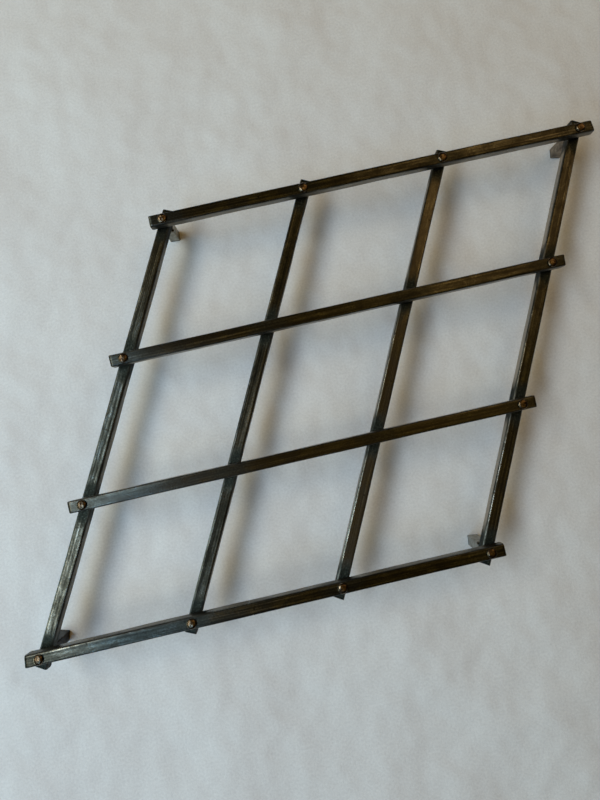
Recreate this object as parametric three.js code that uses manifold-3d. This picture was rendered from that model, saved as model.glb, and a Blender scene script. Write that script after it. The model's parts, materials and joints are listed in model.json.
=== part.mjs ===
// Expanding lattice trivet: four upper bars over four lower bars, riveted around the edge of the
// lattice, and held off the table by a square foot under each corner rivet.
// Millimetres, +Z up. X runs along the upper bars. The origin is on the table, under the middle
// of the lattice.

import * as THREE from 'three';
import { mergeVertices } from 'three/addons/utils/BufferGeometryUtils.js';
import Module from 'manifold-3d';

// Lattice
const BARS_PER_LAYER = 4;
const PITCH = 70;               // rivet to rivet along a bar
const REST_ANGLE = 63.4;        // degrees between the two layers, as it lies opened
const OVERHANG = 6.5;           // bar past its end rivet

// Bars: sheet folded to a channel, open side down
const BAR_WIDTH = 5.6;
const BAR_HEIGHT = 5.3;
const SHEET = 0.7;
const FOLD_RADIUS = 0.9;        // outside of the fold
const FOLD_STEPS = 4;

// Rivets
const SHANK_RADIUS = 1.2;
const HOLE_RADIUS = 1.45;
const HEAD_RADIUS = 2.35;
const HEAD_HEIGHT = 1.2;
const TAIL_RADIUS = 1.7;
const TAIL_THICKNESS = 0.6;
const ROUND_SIDES = 16;
const DOME_STEPS = 4;

// Feet: square cups of folded sheet, mouth down, with a relief at each top corner
const FOOT_SIDE = 5.2;
const FOOT_HEIGHT = 17.1;
const FOOT_SHEET = 0.6;
const RELIEF_SIDE = 1.1;
const RELIEF_DEPTH = 1.8;

// Each foot swivels on its rivet: how far it stands turned from the upper bars, in degrees
const FOOT_TURN = { u1_l1: -15, u1_l4: -7, u4_l1: -4, u4_l4: -11 };

// Clearances
const LAYER_GAP = 0.3;          // between pieces that turn on each other
const HEAD_GAP = 0.1;           // between a rivet and the piece it is fast in

// Levels
const LOWER_BOTTOM = FOOT_HEIGHT + LAYER_GAP;
const LOWER_TOP = LOWER_BOTTOM + BAR_HEIGHT;
const UPPER_BOTTOM = LOWER_TOP + LAYER_GAP;
const UPPER_TOP = UPPER_BOTTOM + BAR_HEIGHT;

const BAR_LENGTH = PITCH * (BARS_PER_LAYER - 1) + 2 * OVERHANG;
const LAST = BARS_PER_LAYER - 1;

const SILVER = { color: 0x6b6a66, metalness: 1, roughness: 0.42 };
const FOOT_SILVER = { color: 0x8a857c, metalness: 1, roughness: 0.5 };
const BRASS = { color: 0xa58c55, metalness: 1, roughness: 0.35 };

const wasm = await Module();
wasm.setup();

// A closed three.js geometry as a solid that can be cut.
function toSolid(geometry) {
  geometry.deleteAttribute('normal');
  geometry.deleteAttribute('uv');
  const merged = mergeVertices(geometry, 1e-4);
  return new wasm.Manifold(new wasm.Mesh({
    numProp: 3,
    vertProperties: new Float32Array(merged.attributes.position.array),
    triVerts: new Uint32Array(merged.index.array),
  }));
}

function toGeometry(solid) {
  const mesh = solid.getMesh();
  const geometry = new THREE.BufferGeometry();
  geometry.setAttribute('position', new THREE.BufferAttribute(mesh.vertProperties, 3));
  geometry.setIndex(new THREE.BufferAttribute(mesh.triVerts, 1));
  return geometry;
}

// An upright round cutter through the levels from bottom to top.
function holeCutter(x, bottom, top) {
  const cutter = new THREE.CylinderGeometry(HOLE_RADIUS, HOLE_RADIUS, top - bottom, ROUND_SIDES);
  cutter.rotateX(Math.PI / 2);
  cutter.translate(x, 0, (bottom + top) / 2);
  return toSolid(cutter);
}

function blockCutter(side, bottom, top, x = 0, y = 0) {
  const cutter = new THREE.BoxGeometry(side, side, top - bottom);
  cutter.translate(x, y, (bottom + top) / 2);
  return toSolid(cutter);
}

// Section of the channel, x across the bar and y up from the edges of its walls.
function channelSection() {
  const half = BAR_WIDTH / 2;
  const section = new THREE.Shape();
  section.moveTo(-half, 0);
  section.lineTo(-half + SHEET, 0);
  section.lineTo(-half + SHEET, BAR_HEIGHT - SHEET);
  section.lineTo(half - SHEET, BAR_HEIGHT - SHEET);
  section.lineTo(half - SHEET, 0);
  section.lineTo(half, 0);
  section.lineTo(half, BAR_HEIGHT - FOLD_RADIUS);
  section.absarc(half - FOLD_RADIUS, BAR_HEIGHT - FOLD_RADIUS, FOLD_RADIUS, 0, Math.PI / 2);
  section.absarc(-half + FOLD_RADIUS, BAR_HEIGHT - FOLD_RADIUS, FOLD_RADIUS, Math.PI / 2, Math.PI);
  section.closePath();
  return section;
}

// A bar along X from its first rivet at x = 0, with a hole at each riveted crossing.
function barGeometry(riveted) {
  const channel = new THREE.ExtrudeGeometry(channelSection(), {
    depth: BAR_LENGTH, bevelEnabled: false, curveSegments: FOLD_STEPS,
  });
  channel.rotateX(Math.PI / 2);
  channel.rotateZ(Math.PI / 2);
  channel.translate(-OVERHANG, 0, 0);
  let solid = toSolid(channel);
  for (const crossing of riveted) {
    solid = solid.subtract(holeCutter(crossing * PITCH, BAR_HEIGHT - 2 * SHEET, BAR_HEIGHT + SHEET));
  }
  return toGeometry(solid);
}

// A rivet on the Z axis: domed head on a web whose top is at headLevel, tail under tailLevel.
function rivetGeometry(headLevel, tailLevel) {
  const base = headLevel + HEAD_GAP;
  const profile = [
    new THREE.Vector2(0, tailLevel - TAIL_THICKNESS),
    new THREE.Vector2(TAIL_RADIUS, tailLevel - TAIL_THICKNESS),
    new THREE.Vector2(TAIL_RADIUS, tailLevel),
    new THREE.Vector2(SHANK_RADIUS, tailLevel),
    new THREE.Vector2(SHANK_RADIUS, base),
  ];
  for (let step = 0; step < DOME_STEPS; step += 1) {
    const angle = (step / DOME_STEPS) * Math.PI / 2;
    const radius = HEAD_RADIUS * Math.cos(angle);
    profile.push(new THREE.Vector2(radius, base + HEAD_HEIGHT * Math.sin(angle)));
  }
  profile.push(new THREE.Vector2(0, base + HEAD_HEIGHT));
  const rivet = new THREE.LatheGeometry(profile, ROUND_SIDES);
  rivet.rotateX(Math.PI / 2);
  return toGeometry(toSolid(rivet));
}

// A foot on the Z axis, standing on z = 0.
function footGeometry() {
  const crown = FOOT_HEIGHT - FOOT_SHEET;
  const corner = (FOOT_SIDE - RELIEF_SIDE) / 2 + FOOT_SHEET / 2;
  let solid = toSolid(new THREE.BoxGeometry(FOOT_SIDE, FOOT_SIDE, FOOT_HEIGHT)
    .translate(0, 0, FOOT_HEIGHT / 2));
  solid = solid.subtract(blockCutter(FOOT_SIDE - 2 * FOOT_SHEET, -FOOT_SHEET, crown));
  solid = solid.subtract(holeCutter(0, crown - FOOT_SHEET, FOOT_HEIGHT + FOOT_SHEET));
  for (const sx of [-1, 1]) {
    for (const sy of [-1, 1]) {
      const relief = blockCutter(RELIEF_SIDE + FOOT_SHEET, FOOT_HEIGHT - RELIEF_DEPTH,
        FOOT_HEIGHT + FOOT_SHEET, sx * (corner + RELIEF_SIDE / 2), sy * (corner + RELIEF_SIDE / 2));
      solid = solid.subtract(relief);
    }
  }
  return toGeometry(solid);
}

function addPiece(parent, name, geometry, finish, x, y, z, turn = 0) {
  const material = new THREE.MeshStandardMaterial(finish);
  const mesh = new THREE.Mesh(geometry, material);
  mesh.name = name;
  mesh.position.set(x, y, z);
  mesh.rotation.z = turn;
  parent.add(mesh);
}

// The lattice: crossing (u, l) of upper bar u and lower bar l, counted from 0.
const restTurn = THREE.MathUtils.degToRad(REST_ANGLE);
const lean = new THREE.Vector2(Math.cos(restTurn), Math.sin(restTurn));
const middle = new THREE.Vector2(1 + lean.x, lean.y).multiplyScalar(PITCH * LAST / 2);

function crossingPoint(u, l) {
  return new THREE.Vector2(l + u * lean.x, u * lean.y).multiplyScalar(PITCH).sub(middle);
}

const isEdge = (index) => index === 0 || index === LAST;
const crossings = [...Array(BARS_PER_LAYER).keys()];

const trivet = new THREE.Group();

for (const index of crossings) {
  const riveted = isEdge(index) ? crossings : [0, LAST];
  const upperEnd = crossingPoint(index, 0);
  const lowerEnd = crossingPoint(0, index);
  const geometry = barGeometry(riveted);
  addPiece(trivet, `upper_bar_${index + 1}`, geometry, SILVER, upperEnd.x, upperEnd.y, UPPER_BOTTOM);
  addPiece(trivet, `lower_bar_${index + 1}`, geometry, SILVER, lowerEnd.x, lowerEnd.y, LOWER_BOTTOM,
    restTurn);
}

const plainRivet = rivetGeometry(UPPER_TOP, LOWER_TOP - SHEET - LAYER_GAP);
const cornerRivet = rivetGeometry(UPPER_TOP, FOOT_HEIGHT - FOOT_SHEET - HEAD_GAP);
const foot = footGeometry();

for (const u of crossings) {
  for (const l of crossings) {
    const tag = `u${u + 1}_l${l + 1}`;
    const { x, y } = crossingPoint(u, l);
    if (isEdge(u) && isEdge(l)) {
      const turn = THREE.MathUtils.degToRad(FOOT_TURN[tag]);
      addPiece(trivet, `corner_rivet_${tag}`, cornerRivet, BRASS, x, y, 0);
      addPiece(trivet, `foot_${tag}`, foot, FOOT_SILVER, x, y, 0, turn);
    } else if (isEdge(u) || isEdge(l)) {
      addPiece(trivet, `rivet_${tag}`, plainRivet, BRASS, x, y, 0);
    }
  }
}

export default trivet;
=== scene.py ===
"""Expanding lattice trivet: eight folded bars in two layers, riveted together around the edge of
the lattice, on four square feet. Metres, +Z up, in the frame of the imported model."""
import json
from math import radians

import bpy
import numpy as np
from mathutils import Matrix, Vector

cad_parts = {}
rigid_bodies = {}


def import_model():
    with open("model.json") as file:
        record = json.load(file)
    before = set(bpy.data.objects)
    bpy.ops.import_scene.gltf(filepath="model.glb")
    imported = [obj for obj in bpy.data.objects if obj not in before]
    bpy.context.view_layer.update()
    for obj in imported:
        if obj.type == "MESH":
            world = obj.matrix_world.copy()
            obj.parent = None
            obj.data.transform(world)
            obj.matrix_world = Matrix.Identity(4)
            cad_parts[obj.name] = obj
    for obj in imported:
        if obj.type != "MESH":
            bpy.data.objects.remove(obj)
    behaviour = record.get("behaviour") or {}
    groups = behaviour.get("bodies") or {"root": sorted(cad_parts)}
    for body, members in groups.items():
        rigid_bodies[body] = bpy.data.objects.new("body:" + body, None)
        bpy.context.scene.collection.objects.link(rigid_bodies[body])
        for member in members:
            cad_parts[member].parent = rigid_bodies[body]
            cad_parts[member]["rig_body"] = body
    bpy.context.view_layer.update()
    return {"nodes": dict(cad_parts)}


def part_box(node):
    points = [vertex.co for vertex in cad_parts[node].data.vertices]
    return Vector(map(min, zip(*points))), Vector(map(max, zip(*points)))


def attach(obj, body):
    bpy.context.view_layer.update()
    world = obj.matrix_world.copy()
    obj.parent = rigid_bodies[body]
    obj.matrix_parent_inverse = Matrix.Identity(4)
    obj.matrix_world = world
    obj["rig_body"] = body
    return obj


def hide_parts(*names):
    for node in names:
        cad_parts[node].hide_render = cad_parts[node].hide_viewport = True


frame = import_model()

# Bars
# Each bar is a strip of thin brass sheet, folded over a former to a channel with its open side
# down, sheared to length and silver plated. The edge bars are pierced for a rivet at all four
# crossings, the inner ones only at their ends.

MM = 0.001
BARS = 4                        # in each layer
SHEET = 0.7 * MM
FOLD = 0.9 * MM                 # outside radius of the two folds
HOLE = 1.45 * MM                # radius of a rivet hole
SHEARED_EDGE = 0.12 * MM        # rounding that plating and wear leave on the sheet's edges
FULL_TURN = 2 * np.pi


def rivet_name(upper, lower):
    corner = upper in (1, BARS) and lower in (1, BARS)
    return f"{'corner_rivet' if corner else 'rivet'}_u{upper}_l{lower}"


def middle(node):
    low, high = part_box(node)
    return (np.array(low) + np.array(high)) / 2


bar_low, bar_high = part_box("upper_bar_1")
BAR_LENGTH, BAR_WIDTH, BAR_HEIGHT = bar_high - bar_low
PITCH = (middle(rivet_name(1, BARS)) - middle(rivet_name(1, 1)))[0] / (BARS - 1)
OVERHANG = (BAR_LENGTH - PITCH * (BARS - 1)) / 2

# The strip before it is folded: half widths of its flat web, of web and fold, and of the whole.
FLAT = BAR_WIDTH / 2 - FOLD
FOLDED = FLAT + FOLD * np.pi / 2
STRIP = FOLDED + BAR_HEIGHT - FOLD

HOLE_CELLS = 12                 # grid cells across the web, and along it beside each hole
HOLE_RING = 8 / HOLE_CELLS      # part of those cells that opens out to the hole's edge
SPAN_CELLS = 36                 # along the bar, between two crossings
END_CELLS = 9                   # along the bar, past the outer crossings
SIDE_CELLS = 6                  # across each fold, and across each wall
HAIR = 1e-6                     # allowance for rounding where grid points are compared


def stretches(stops, cells):
    """Lengths from the first stop to the last, each stretch cut into its own number of cells."""
    parts = [np.linspace(a, b, n, endpoint=False) for a, b, n in zip(stops, stops[1:], cells)]
    return np.append(np.concatenate(parts), stops[-1])


def grid_faces(rows, columns):
    """The quads of a grid of points numbered row by row, as four corner numbers each."""
    corner = np.arange(rows * columns).reshape(rows, columns)
    around = (corner[:-1, :-1], corner[1:, :-1], corner[1:, 1:], corner[:-1, 1:])
    return np.stack(around, axis=-1).reshape(-1, 4)


def pierced(along, across, hole_at):
    """Slides the grid's points in a square around a hole out to its edge. A point keeps its
    direction from the hole's middle; the ring at HOLE_RING of the square's half side goes to the
    circle, the square's own edge stays, and the rings between are spread evenly. Also returns how
    far out of the square each point was, from 0 at the middle to 1 at its edge."""
    u, v = (along - hole_at) / FLAT, across / FLAT
    out = np.maximum(np.abs(u), np.abs(v))
    inside = out < 1 + HAIR
    safe = np.maximum(out, 1e-9)
    reach = np.maximum(np.hypot(u, v), 1e-9)
    spread = np.clip((out - HOLE_RING) / (1 - HOLE_RING), 0, 1)
    moved = [HOLE * w / reach * (1 - spread) + FLAT * w / safe * spread for w in (u, v)]
    along = np.where(inside, hole_at + moved[0], along)
    across = np.where(inside, moved[1], across)
    return along, across, np.where(inside, out, 2)


def fold_up(across):
    """Place across the bar and height over its mouth of a point on the strip, when folded: level
    over the web, a quarter circle of radius FOLD at each side of it, then straight down."""
    side, reach = np.sign(across), np.abs(across)
    turn = np.clip((reach - FLAT) / FOLD, 0, np.pi / 2)
    out = side * (np.minimum(reach, FLAT) + FOLD * np.sin(turn))
    up = BAR_HEIGHT - FOLD * (1 - np.cos(turn)) - np.maximum(reach - FOLDED, 0)
    return out, up


def waves(along, periods, draw):
    """A sum of sine waves of the given periods, each with a phase of its own, from -1 to 1."""
    phases = draw.uniform(0, FULL_TURN, len(periods))
    return np.mean([np.sin(FULL_TURN * along / p + a) for p, a in zip(periods, phases)], axis=0)


CUT_LEAN = 0.10                 # most that a sheared end leans, as a slope
CORNER = 0.9 * MM               # rounding of each wall's corner at the bar's end
ROLL = 1.1 * MM                 # length of web that the shear drags down at each end
ROLL_DROP = 0.28 * MM
HOLLOW = 0.06 * MM              # how far the web sinks along its middle
SWAY = 0.10 * MM                # how far the bar strays from straight, by hand folding
RIPPLE = 0.3 * SWAY             # how far its top rises and falls


def bar_mesh(name, riveted, draw):
    """The outside of one channel along +X from its first rivet, as a grid: along the strip, and
    across it. Its UV map is the flat strip in millimetres."""
    last = PITCH * (BARS - 1)
    stops = [-OVERHANG]
    for crossing in range(BARS):
        stops += [crossing * PITCH - FLAT, crossing * PITCH + FLAT]
    stops.append(last + OVERHANG)
    cells = [END_CELLS] + [HOLE_CELLS, SPAN_CELLS] * (BARS - 1) + [HOLE_CELLS, END_CELLS]
    lengths = stretches(stops, cells)
    widths = stretches([-STRIP, -FOLDED, -FLAT, FLAT, FOLDED, STRIP],
                       [SIDE_CELLS, SIDE_CELLS, HOLE_CELLS, SIDE_CELLS, SIDE_CELLS])
    along, across = np.meshgrid(lengths, widths, indexing="ij")
    faces = grid_faces(*along.shape)
    for crossing in riveted:
        along, across, out = pierced(along, across, crossing * PITCH)
        faces = faces[out.ravel()[faces].max(axis=1) > HOLE_RING + HAIR]

    strip = np.stack([along / MM, across / MM], axis=-1).reshape(-1, 2)
    to_end = np.minimum(along + OVERHANG, last + OVERHANG - along)
    at_last = along > last / 2
    lean = np.where(at_last, draw.uniform(-CUT_LEAN, CUT_LEAN), draw.uniform(-CUT_LEAN, CUT_LEAN))
    into_corner = np.clip(np.abs(across) - (STRIP - CORNER), 0, CORNER)
    setback = CORNER - np.sqrt(CORNER ** 2 - into_corner ** 2) + lean * across
    near_end = np.clip(1 - to_end / OVERHANG, 0, 1)
    along = along + np.where(at_last, -1, 1) * setback * near_end

    out, up = fold_up(across)
    drag = np.clip(1 - to_end / ROLL, 0, 1) ** 2
    on_web = np.clip(1 - np.abs(across) / FOLDED, 0, 1)
    up = up - ROLL_DROP * drag - HOLLOW * on_web ** 0.5
    out = out + SWAY * waves(along, (310 * MM, 140 * MM, 61 * MM), draw)
    splay = (BAR_HEIGHT - up) / BAR_HEIGHT
    out = out + np.sign(across) * SWAY * splay * waves(along, (90 * MM, 37 * MM), draw)
    up = up + RIPPLE * waves(along, (170 * MM, 47 * MM, 23 * MM), draw)

    points = np.stack([along, out, up], axis=-1).reshape(-1, 3)
    used, numbers = np.unique(faces, return_inverse=True)
    return points[used], numbers.reshape(-1, 4).tolist(), strip[used]


def new_piece(name, points, faces, uv=None):
    """A smooth mesh object at the origin, from an array of points and a list of faces."""
    mesh = bpy.data.meshes.new(name)
    mesh.from_pydata(points.tolist(), [], faces)
    mesh.shade_smooth()
    if uv is not None:
        corners = np.empty(len(mesh.loops), dtype=np.int32)
        mesh.loops.foreach_get("vertex_index", corners)
        layer = mesh.uv_layers.new(name="strip")
        layer.data.foreach_set("uv", uv[corners].astype(np.float32).ravel())
    piece = bpy.data.objects.new(name, mesh)
    bpy.context.scene.collection.objects.link(piece)
    return piece


def thicken(piece, sheet, edge):
    """The sheet's thickness goes inwards from the modelled surface, and its edges are eased."""
    solid = piece.modifiers.new("sheet", "SOLIDIFY")
    solid.thickness = sheet
    solid.offset = -1
    solid.use_even_offset = True
    bevel = piece.modifiers.new("edges", "BEVEL")
    bevel.width = edge
    bevel.segments = 2
    bevel.limit_method = "ANGLE"
    bevel.angle_limit = radians(50)
    bevel.harden_normals = True


def colour(code):
    """Linear red, green, blue and alpha of an sRGB colour written as hex."""
    srgb = np.array([int(code[i:i + 2], 16) for i in (1, 3, 5)]) / 255
    linear = np.where(srgb > 0.04045, ((srgb + 0.055) / 1.055) ** 2.4, srgb / 12.92)
    return (*linear.tolist(), 1.0)


def add(tree, kind, inputs=None, ramp=None, **settings):
    """Adds a node with its settings. Each input is a value, or the output of another node; a
    ramp's stops are places and colours."""
    made = tree.nodes.new(kind)
    for key, value in settings.items():
        setattr(made, key, value)
    for socket, value in (inputs or {}).items():
        if isinstance(value, bpy.types.NodeSocket):
            tree.links.new(value, made.inputs[socket])
        else:
            made.inputs[socket].default_value = value
    if ramp:
        stops = made.color_ramp.elements
        for place, _ in ramp[2:]:
            stops.new(place)
        for stop, (place, shade) in zip(stops, ramp):
            stop.position = place
            stop.color = colour(shade)
    return made


def new_material(name):
    material = bpy.data.materials.new(name)
    material.use_nodes = True
    material.node_tree.nodes.clear()
    return material, material.node_tree


def finish_material(tree, shader):
    add(tree, "ShaderNodeOutputMaterial", {"Surface": shader.outputs[0]})


# Old silver plate on brass, drawn and never lacquered. Silver sulphide has turned it from grey
# to olive brown, in streaks along the drawing lines, and greenish black where two bars lie on
# each other and no cloth reaches. The folds stay bright, because hands and cloths rub there.
def tarnished_plate(name, covered, web_painted_reflection, walls_reflection_and_wear):
    """All from 0 to 1: how strongly the crossings are blackened, and how far the web and the
    walls are lightened towards grey, a painted reflection of the pale floor; the walls' amount
    also sets how far the folds are worn."""
    material, tree = new_material(name)
    strip = add(tree, "ShaderNodeUVMap", uv_map="strip").outputs["UV"]
    place = add(tree, "ShaderNodeSeparateXYZ", {0: strip})

    # Drawing lines 0.9 mm apart, coarser than the real ones so that they show, and 60 mm long.
    lines_at = add(tree, "ShaderNodeMapping", {"Vector": strip, "Scale": (1 / 60, 1 / 0.9, 1)})
    lines = add(tree, "ShaderNodeTexNoise",
                {"Vector": lines_at.outputs[0], "Scale": 1, "Detail": 5, "Roughness": 0.6}).outputs[0]
    # Clouds of tarnish about 9 mm long and 4 mm wide, and mottling of 0.8 mm inside them.
    clouds_at = add(tree, "ShaderNodeMapping", {"Vector": strip, "Scale": (1 / 9, 1 / 4, 1)})
    clouds = add(tree, "ShaderNodeTexNoise",
                 {"Vector": clouds_at.outputs[0], "Scale": 1, "Detail": 4, "Roughness": 0.65,
                  "Distortion": 0.6}).outputs[0]
    mottle = add(tree, "ShaderNodeTexNoise",
                 {"Vector": strip, "Scale": 1 / 0.8, "Detail": 3, "Roughness": 0.7}).outputs[0]

    streaked = add(tree, "ShaderNodeValToRGB", {0: lines},
                   [(0.32, "#2d2d29"), (0.47, "#454640"), (0.58, "#63645c"), (0.70, "#9c9b92")])
    clouded = add(tree, "ShaderNodeValToRGB", {0: clouds},
                  [(0.32, "#6a6558"), (0.50, "#b5b0a4"), (0.68, "#ffffff")])
    mottled = add(tree, "ShaderNodeValToRGB", {0: mottle},
                  [(0.36, "#8d8a80"), (0.52, "#e2e0da"), (0.64, "#ffffff")])
    tone = add(tree, "ShaderNodeMix", {0: 0.85, 6: streaked.outputs[0], 7: clouded.outputs[0]},
               data_type="RGBA", blend_type="MULTIPLY").outputs[2]
    tone = add(tree, "ShaderNodeMix", {0: 0.8, 6: tone, 7: mottled.outputs[0]},
               data_type="RGBA", blend_type="MULTIPLY").outputs[2]

    # Painted reflection: the walls, and a little of the web, are lightened towards a warm grey,
    # standing in for the pale floor that they mirror.
    side = add(tree, "ShaderNodeMath", {0: place.outputs[1]}, operation="ABSOLUTE").outputs[0]
    wall_start = float(FOLDED / MM)
    painted_floor_reflection = add(tree, "ShaderNodeMapRange",
                 {"Value": side, "From Min": wall_start, "From Max": wall_start + 0.8,
                  "To Min": web_painted_reflection, "To Max": walls_reflection_and_wear}).outputs[0]
    tone = add(tree, "ShaderNodeMix", {0: painted_floor_reflection, 6: tone, 7: colour("#a89d8c")},
               data_type="RGBA").outputs[2]

    # Distance from the nearest crossing, with a ragged edge.
    half_pitch = float(PITCH / MM / 2)
    off = add(tree, "ShaderNodeMath", {0: place.outputs[0], 1: half_pitch}, operation="PINGPONG")
    ragged = add(tree, "ShaderNodeMath", {0: clouds, 1: 9.0, 2: -4.5}, operation="MULTIPLY_ADD")
    reach = add(tree, "ShaderNodeMath", {0: off.outputs[0], 1: ragged.outputs[0]}, operation="ADD")
    black = add(tree, "ShaderNodeMapRange",
                {"Value": reach.outputs[0], "From Min": 13.0, "From Max": 6.0,
                 "To Min": 0.0, "To Max": covered}, interpolation_type="SMOOTHSTEP").outputs[0]
    sulphide = add(tree, "ShaderNodeValToRGB", {0: mottle},
                   [(0.35, "#1b1d1a"), (0.55, "#282c27"), (0.72, "#50574f")])
    tone = add(tree, "ShaderNodeMix", {0: black, 6: tone, 7: sulphide.outputs[0]},
               data_type="RGBA").outputs[2]

    # Rubbed metal along the folds, in patches.
    fold_middle = float((FLAT + FOLDED) / 2 / MM)
    from_fold = add(tree, "ShaderNodeMath", {0: side, 1: fold_middle}, operation="SUBTRACT")
    from_fold = add(tree, "ShaderNodeMath", {0: from_fold.outputs[0]}, operation="ABSOLUTE")
    on_fold = add(tree, "ShaderNodeMapRange",
                  {"Value": from_fold.outputs[0], "From Min": 0.75, "From Max": 0.15,
                   "To Min": 0.0, "To Max": 1.0}).outputs[0]
    in_patches = add(tree, "ShaderNodeMapRange",
                     {"Value": clouds, "From Min": 0.40, "From Max": 0.62,
                      "To Min": 0.05, "To Max": 0.1 + 0.35 * walls_reflection_and_wear}).outputs[0]
    wear = add(tree, "ShaderNodeMath", {0: on_fold, 1: in_patches},
               operation="MULTIPLY").outputs[0]
    tone = add(tree, "ShaderNodeMix", {0: wear, 6: tone, 7: colour("#a8a49a")},
               data_type="RGBA").outputs[2]

    # Pits up to a millimetre across, some 5 mm apart, black with old polish.
    pits = add(tree, "ShaderNodeTexVoronoi", {"Vector": strip, "Scale": 1 / 5}).outputs[0]
    pitted = add(tree, "ShaderNodeMapRange",
                 {"Value": pits, "From Min": 0.10, "From Max": 0.05,
                  "To Min": 0.0, "To Max": 0.8}).outputs[0]
    tone = add(tree, "ShaderNodeMix", {0: pitted, 6: tone, 7: colour("#15140f")},
               data_type="RGBA").outputs[2]

    dull = add(tree, "ShaderNodeMapRange",
               {"Value": clouds, "From Min": 0.3, "From Max": 0.7,
                "To Min": 0.36, "To Max": 0.22}).outputs[0]
    rough = add(tree, "ShaderNodeMath", {0: black, 1: 0.22, 2: dull}, operation="MULTIPLY_ADD")
    grooves = add(tree, "ShaderNodeBump",
                  {"Height": lines, "Strength": 1.0, "Distance": 0.02 * MM})
    grain = add(tree, "ShaderNodeBump",
                {"Height": mottle, "Strength": 1.0, "Distance": 0.012 * MM,
                 "Normal": grooves.outputs[0]})
    # The drawing lines run along the bar, so they spread a reflection across it.
    drawn = add(tree, "ShaderNodeTangent", direction_type="UV_MAP", uv_map="strip")
    shader = add(tree, "ShaderNodeBsdfPrincipled",
                 {"Base Color": tone, "Metallic": 1.0, "Roughness": rough.outputs[0],
                  "Anisotropic": 0.65, "Anisotropic Rotation": 0.25,
                  "Tangent": drawn.outputs[0], "Normal": grain.outputs[0]})
    finish_material(tree, shader)
    return material


PATTERN_STEP = 6                # pitches between two bars' stretches of the pattern

# How strongly each layer's crossings are blackened, and how far each bar's web and walls are
# lightened, a painted reflection of the pale floor; the walls' amount also sets the fold wear.
# The lightest walls are those of the fourth lower bar.
CROSSINGS_BLACKENED = {"upper": 0.35, "lower": 1.0}
REFLECTION_AND_WEAR = {
    "upper_bar_1": (0.02, 0.25),
    "upper_bar_2": (0.07, 0.45),
    "upper_bar_3": (0.04, 0.40),
    "upper_bar_4": (0.03, 0.42),
    "lower_bar_1": (0.00, 0.25),
    "lower_bar_2": (0.00, 0.30),
    "lower_bar_3": (0.10, 0.60),
    "lower_bar_4": (0.04, 0.90),
}

for layer in ("upper", "lower"):
    for number in range(1, BARS + 1):
        node = f"{layer}_bar_{number}"
        first = (number, 1) if layer == "upper" else (1, number)
        last = (number, BARS) if layer == "upper" else (BARS, number)
        start, end = middle(rivet_name(*first)), middle(rivet_name(*last))
        direction = (end - start) / np.linalg.norm(end - start)
        riveted = range(BARS) if number in (1, BARS) else (0, BARS - 1)
        # Each bar has its own seed, and its own stretch of the pattern, whole pitches away.
        seed = number + BARS * (layer == "lower")
        points, faces, strip = bar_mesh(node, riveted, np.random.default_rng(seed))
        strip = strip + [PATTERN_STEP * seed * PITCH / MM, 0]
        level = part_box(node)[0].z
        sideways = np.array([-direction[1], direction[0], 0])
        points = (points[:, :1] * direction + points[:, 1:2] * sideways
                  + points[:, 2:] * [0, 0, 1] + [start[0], start[1], level])
        bar = new_piece(f"plated_{node}", points, faces, strip)
        thicken(bar, SHEET, SHEARED_EDGE)
        bar.data.materials.append(tarnished_plate(f"tarnished_silver_plate_{node}",
                                                CROSSINGS_BLACKENED[layer], *REFLECTION_AND_WEAR[node]))
        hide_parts(node)
        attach(bar, frame["nodes"][node]["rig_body"])

# Rivets
# Turned brass pins: a shank through both webs, a low domed head above and an upset tail below.
# The four corner rivets reach down through the crowns of the feet and are upset inside them.

HEAD_RADIUS = 2.35 * MM
SHANK = 1.2 * MM
TAIL_RADIUS = 1.7 * MM
TAIL = 0.6 * MM                 # thickness of the upset end
LIP = 0.12 * MM                 # flat edge of the head's rim
DENT = 0.22 * MM                # most that one hammer dent changes the head's height
DENTED = 2 * MM                 # how far below its top a rivet can be dented
AROUND = 48                     # points around a rivet
DOME_POINTS = 15                # from the middle of the head to its rim
TAIL_POINTS = 9                 # around the tail's rounded edge
FLATTENED = 0.72                # power of sine and cosine in the head's outline; 1 is an ellipse


def rivet_profile(head_base, top, bottom):
    """Radius and height of a rivet's outline, from the middle of its head down to the middle of
    its tail: a dome with a small lip, the shank, and a tail with rounded edges. The dome is a
    superellipse, flatter on top and steeper at the rim than an ellipse."""
    dome = np.linspace(0, np.pi / 2, DOME_POINTS)[1:]
    head = np.stack([HEAD_RADIUS * np.sin(dome) ** FLATTENED,
                     head_base + LIP + (top - head_base - LIP) * np.cos(dome) ** FLATTENED], axis=1)
    eased = np.linspace(0, np.pi, TAIL_POINTS)
    tail = np.stack([TAIL_RADIUS - TAIL / 2 * (1 - np.sin(eased)),
                     bottom + TAIL / 2 * (1 + np.cos(eased))], axis=1)
    under = [(HEAD_RADIUS, head_base + LIP / 2), (HEAD_RADIUS - LIP, head_base),
             (SHANK, head_base), (SHANK, bottom + TAIL)]
    return np.concatenate([head, under, tail])


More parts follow.
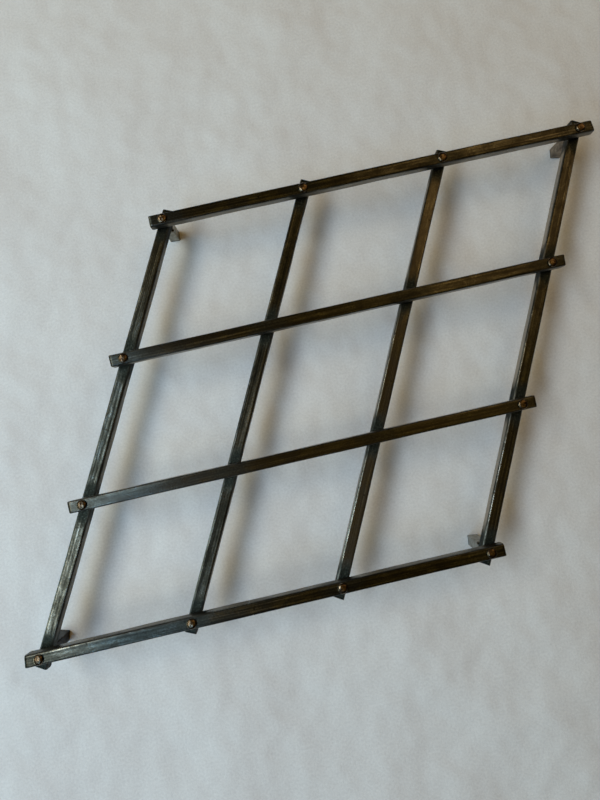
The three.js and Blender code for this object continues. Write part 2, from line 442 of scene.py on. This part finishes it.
def turned(profile, top, bottom, dents):
    """Carries the profile around the Z axis, and closes it with a point at each pole. The head
    is dented by the hammer: between its middle and its rim its height changes by a sum of
    cosines of the angle, each with its own size and phase."""
    angle = np.arange(AROUND) * FULL_TURN / AROUND
    radius, height = profile[:, :1], profile[:, 1:]
    ring = np.stack([radius * np.cos(angle), radius * np.sin(angle),
                     height + 0 * angle], axis=-1)
    share = radius / HEAD_RADIUS
    dip = share * (1 - share) * np.sum([d * np.cos(k * angle + p) for k, (d, p) in
                                        enumerate(dents, 1)], axis=0)
    ring[..., 2] += np.where(height > top - DENTED, dip, 0)
    rows = len(profile)
    points = np.concatenate([ring.reshape(-1, 3), [[0, 0, top], [0, 0, bottom]]])
    corner = np.arange(rows * AROUND).reshape(rows, AROUND)
    after = np.roll(corner, -1, axis=1)
    quads = np.stack([corner[:-1], corner[1:], after[1:], after[:-1]], axis=-1).reshape(-1, 4)
    upper_fan = np.stack([np.full(AROUND, rows * AROUND), corner[0], after[0]], axis=-1)
    lower_fan = np.stack([np.full(AROUND, rows * AROUND + 1), after[-1], corner[-1]], axis=-1)
    return points, quads.tolist() + upper_fan.tolist() + lower_fan.tolist()


# Plain brass, rubbed on the crown of each head and dark brown in the corner under it, where
# polish collects.
brass, tree = new_material("rubbed_brass")
spot = add(tree, "ShaderNodeTexCoord").outputs["Object"]
stains = add(tree, "ShaderNodeTexNoise",
             {"Vector": spot, "Scale": 1 / (1.6 * MM), "Detail": 4, "Roughness": 0.6}).outputs[0]
stained = add(tree, "ShaderNodeValToRGB", {0: stains},
              [(0.35, "#352a1f"), (0.52, "#594936"), (0.70, "#90806a")])
height = add(tree, "ShaderNodeSeparateXYZ", {0: spot}).outputs[2]
head_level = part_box("upper_bar_1")[1].z
clean = add(tree, "ShaderNodeMapRange",
            {"Value": height, "From Min": head_level, "From Max": head_level + 0.55 * MM,
             "To Min": 0.0, "To Max": 1.0}).outputs[0]
brassy = add(tree, "ShaderNodeMix", {0: clean, 6: colour("#1d1a12"), 7: stained.outputs[0]},
             data_type="RGBA").outputs[2]
worn = add(tree, "ShaderNodeMapRange",
           {"Value": stains, "From Min": 0.3, "From Max": 0.7,
            "To Min": 0.34, "To Max": 0.18}).outputs[0]
marks = add(tree, "ShaderNodeBump", {"Height": stains, "Strength": 1.0, "Distance": 0.03 * MM})
finish_material(tree, add(tree, "ShaderNodeBsdfPrincipled",
                          {"Base Color": brassy, "Metallic": 1.0, "Roughness": worn,
                           "Normal": marks.outputs[0]}))

for upper in range(1, BARS + 1):
    for lower in range(1, BARS + 1):
        if upper not in (1, BARS) and lower not in (1, BARS):
            continue
        node = rivet_name(upper, lower)
        low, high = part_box(node)
        draw = np.random.default_rng(10 * upper + lower)
        dents = draw.uniform((0, 0), (DENT, FULL_TURN), (3, 2))
        base = head_level - HOLLOW / 2
        profile = rivet_profile(base, high.z, low.z)
        points, faces = turned(profile, high.z, low.z, dents)
        points = points + [*middle(node)[:2], 0]
        rivet = new_piece(f"brass_{node}", points, faces)
        rivet.data.materials.append(brass)
        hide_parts(node)
        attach(rivet, frame["nodes"][node]["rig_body"])

# Feet
# Each foot is a small cup of plated sheet, cut as a cross and folded down over a square former,
# mouth down. The corner rivet goes through its crown, so it can swivel.

FOOT_SHEET = 0.6 * MM
FOOT_FOLD = 0.7 * MM            # outside radius around the crown
FOOT_CORNER = 0.5 * MM          # outside radius of the upright corners
RELIEF = 1.1 * MM               # notch left at each top corner, where the folds meet
RELIEF_DEPTH = 1.8 * MM
ALONG_SIDE = [6, 10, 6]         # grid cells along a side: relief, middle, relief
UP_WALL = [16, 3]               # up to the relief, and past it to the fold
FOLD_POINTS = 6                 # around the crown's fold
OVER_CROWN = [2, 6]             # from the fold to the relief's width, and on to the hole
FOOT_TURNS = {"u1_l1": -15, "u1_l4": -7, "u4_l1": -4, "u4_l4": -11}    # degrees


def rounded_square(side_share, half, corner):
    """Point on a square ring of half side half, whose corners are rounded. side_share runs from
    -1 to 1 along one side, and the same side is turned four times by quarter turns; past
    half - corner the point leaves the side along an eighth of a circle."""
    along = np.abs(side_share) * half
    turn = np.clip((along - (half - corner)) / corner, 0, 1) * np.pi / 4
    x = half - corner + corner * np.cos(turn)
    y = np.sign(side_share) * (np.minimum(along, half - corner) + corner * np.sin(turn))
    return x, y


def foot_mesh(half, height):
    """The outside of the cup as a grid: around its four sides, and up the wall, over the fold
    and across the crown to the rivet hole, blending there from square to round."""
    relief_share = 1 - RELIEF / half
    shares = stretches([-1, -relief_share, relief_share, 1], ALONG_SIDE)[:-1]
    wall = stretches([0, height - RELIEF_DEPTH, height - FOOT_FOLD], UP_WALL)
    turn = np.linspace(0, np.pi / 2, FOLD_POINTS)[1:]
    crown = stretches([FOOT_FOLD, RELIEF, half - HOLE], OVER_CROWN)[1:]
    inset = np.concatenate([0 * wall, FOOT_FOLD * (1 - np.cos(turn)), crown])
    level = np.concatenate([wall, height - FOOT_FOLD * (1 - np.sin(turn)), height + 0 * crown])
    blend = np.clip((inset - RELIEF) / (half - HOLE - RELIEF), 0, 1)

    share, row_inset = np.meshgrid(shares, inset, indexing="ij")
    row_level, row_blend = level + 0 * share, blend + 0 * share
    x, y = rounded_square(share, half - row_inset, np.maximum(FOOT_CORNER - row_inset, 0.1 * MM))
    round_angle = share * np.pi / 4
    x = x * (1 - row_blend) + HOLE * np.cos(round_angle) * row_blend
    y = y * (1 - row_blend) + HOLE * np.sin(round_angle) * row_blend
    sides = [np.stack([x * c - y * s, x * s + y * c, row_level], axis=-1)
             for c, s in ((1, 0), (0, 1), (-1, 0), (0, -1))]
    points = np.concatenate(sides)

    columns, rows = points.shape[:2]
    corner = np.arange(columns * rows).reshape(columns, rows)
    after = np.roll(corner, -1, axis=0)
    quads = np.stack([corner[:, :-1], after[:, :-1], after[:, 1:], corner[:, 1:]], axis=-1)
    in_corner = np.tile(np.abs(np.roll(shares, -1) + shares) / 2 > relief_share, 4)
    in_corner |= np.tile(np.arange(len(shares)) == len(shares) - 1, 4)
    high_up = (level[:-1] >= height - RELIEF_DEPTH - HAIR) & (inset[1:] <= RELIEF + HAIR)
    kept = ~(in_corner[:, None] & high_up[None, :])
    faces = quads[kept]
    used, numbers = np.unique(faces, return_inverse=True)
    return points.reshape(-1, 3)[used], numbers.reshape(-1, 4).tolist()


# The same plate, less handled, so it is a duller and more even grey than the bars, with soft
# stains. Each foot has its own shades: one is near black, a painted shade for the shadow that
# foot stands in; two are grey and one is brown.
FOOT_SHADES = {
    "u1_l1": ("painted_shadow_silver_plate", ("#151412", "#211f1c", "#3a3732")),
    "u1_l4": ("rubbed_silver_plate", ("#76736a", "#96938a", "#b0ada4")),
    "u4_l1": ("dull_silver_plate", ("#6b675c", "#8c887c", "#a9a498")),
    "u4_l4": ("brown_silver_plate", ("#5a5045", "#85796a", "#a39888")),
}


def foot_plate(name, shades):
    """shades are the darkest, middle and lightest colour of the stains."""
    material, tree = new_material(name)
    spot = add(tree, "ShaderNodeTexCoord").outputs["Object"]
    stains = add(tree, "ShaderNodeTexNoise",
                 {"Vector": spot, "Scale": 1 / (3 * MM), "Detail": 5, "Roughness": 0.6}).outputs[0]
    grey = add(tree, "ShaderNodeValToRGB", {0: stains}, list(zip((0.32, 0.50, 0.68), shades)))
    # Painted contact shadow: up to 0.8 mm above the table, the mouth's edge is darkened to near
    # black.
    above_table = add(tree, "ShaderNodeSeparateXYZ", {0: spot}).outputs[2]
    painted_contact_shadow = add(tree, "ShaderNodeMapRange",
                   {"Value": above_table, "From Min": 0.3 * MM, "From Max": 0.8 * MM,
                    "To Min": 1.0, "To Max": 0.0}).outputs[0]
    tone = add(tree, "ShaderNodeMix", {0: painted_contact_shadow, 6: grey.outputs[0], 7: colour("#1f1e1a")},
               data_type="RGBA").outputs[2]
    dulled = add(tree, "ShaderNodeMapRange",
                 {"Value": stains, "From Min": 0.3, "From Max": 0.7,
                  "To Min": 0.52, "To Max": 0.38}).outputs[0]
    specks = add(tree, "ShaderNodeTexNoise",
                 {"Vector": spot, "Scale": 1 / (0.6 * MM), "Detail": 2}).outputs[0]
    grain = add(tree, "ShaderNodeBump",
                {"Height": specks, "Strength": 1.0, "Distance": 0.012 * MM})
    finish_material(tree, add(tree, "ShaderNodeBsdfPrincipled",
                              {"Base Color": tone, "Metallic": 1.0, "Roughness": dulled,
                               "Normal": grain.outputs[0]}))
    return material


for tag, degrees in FOOT_TURNS.items():
    node = f"foot_{tag}"
    low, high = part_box(node)
    angle = radians(degrees)
    side = (high.x - low.x) / (abs(np.cos(angle)) + abs(np.sin(angle)))
    points, faces = foot_mesh(side / 2, high.z - low.z)
    c, s = np.cos(angle), np.sin(angle)
    points = points @ np.array([[c, s, 0], [-s, c, 0], [0, 0, 1]])
    points = points + [*middle(node)[:2], low.z]
    foot = new_piece(f"plated_{node}", points, faces)
    thicken(foot, FOOT_SHEET, SHEARED_EDGE)
    foot.data.materials.append(foot_plate(*FOOT_SHADES[tag]))
    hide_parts(node)
    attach(foot, frame["nodes"][node]["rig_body"])

# Floor
# A pale sheet of uncoated paper under the trivet, larger than the view, with a fine tooth.

FLOOR_HALF = 1.6
floor_points = np.array([[-1, -1, 0], [1, -1, 0], [1, 1, 0], [-1, 1, 0]]) * FLOOR_HALF
floor = new_piece("floor", floor_points, [[0, 1, 2, 3]])
paper, tree = new_material("uncoated_paper")
spot = add(tree, "ShaderNodeTexCoord").outputs["Object"]
fibres = add(tree, "ShaderNodeTexNoise",
             {"Vector": spot, "Scale": 1 / (1.2 * MM), "Detail": 4, "Roughness": 0.7}).outputs[0]
creases = add(tree, "ShaderNodeTexNoise",
              {"Vector": spot, "Scale": 1 / (70 * MM), "Detail": 3}).outputs[0]
tooth = add(tree, "ShaderNodeBump", {"Height": fibres, "Strength": 1.0, "Distance": 0.10 * MM})
waved = add(tree, "ShaderNodeBump", {"Height": creases, "Strength": 1.0, "Distance": 7 * MM,
                                     "Normal": tooth.outputs[0]})
pale = add(tree, "ShaderNodeValToRGB", {0: fibres}, [(0.3, "#dcdcda"), (0.7, "#eeeeec")])
finish_material(tree, add(tree, "ShaderNodeBsdfPrincipled",
                          {"Base Color": pale.outputs[0], "Roughness": 0.9,
                           "Specular IOR Level": 0.2, "Normal": waved.outputs[0]}))
floor.data.materials.append(paper)

# Light
# Two long soft panels above the left side, a cool one nearer the zenith and a neutral one beyond
# it, a low window that lights the walls of the bars, a brown wall opposite that glows in the far
# right corner's bars, a dim brown ceiling that the webs mirror, and a nearly dark room.


def panel(name, place, size, power, code):
    """A rectangular lamp at place, long in Y, and turned about Y so that it faces the line
    x = 0 on the floor."""
    lamp = bpy.data.lights.new(name, "AREA")
    lamp.shape = "RECTANGLE"
    lamp.size, lamp.size_y = size
    lamp.energy = power
    lamp.color = colour(code)[:3]
    holder = bpy.data.objects.new(name, lamp)
    holder.location = place
    holder.rotation_euler = (0, np.arctan2(place[0], place[2]), 0)
    bpy.context.scene.collection.objects.link(holder)


panel("cool_panel", (-0.35, -0.12, 0.58), (0.12, 0.75), 1.85, "#93caff")
panel("neutral_panel", (-0.58, 0.15, 0.82), (0.16, 1.00), 4.2, "#fffae6")
panel("low_window", (-1.20, -0.30, 0.22), (0.30, 1.40), 6.6, "#cff6ff")
panel("brown_wall", (0.75, 0.55, 1.00), (1.10, 0.80), 2.3, "#ffd296")
panel("brown_ceiling", (0.0, 0.0, 1.50), (2.00, 2.00), 3.0, "#ffd262")

world = bpy.data.worlds.new("room")
bpy.context.scene.world = world
world.use_nodes = True
world.node_tree.nodes["Background"].inputs["Color"].default_value = colour("#ffe8cc")
world.node_tree.nodes["Background"].inputs["Strength"].default_value = 0.006
bpy.context.scene.view_settings.view_transform = "Standard"

# Camera
# Hand held just over the middle of the lattice, looking almost straight down.

camera_data = bpy.data.cameras.new("camera")
camera_data.lens = 25.49
camera_data.shift_x = -0.0026
camera_data.shift_y = -0.051
camera_data.clip_start = 0.01
camera = bpy.data.objects.new("camera", camera_data)
camera.location = (-0.01315, -0.01352, 0.29450)
camera.rotation_euler = (radians(5.66), radians(-0.09), radians(-12.73))
bpy.context.scene.collection.objects.link(camera)
bpy.context.scene.camera = camera
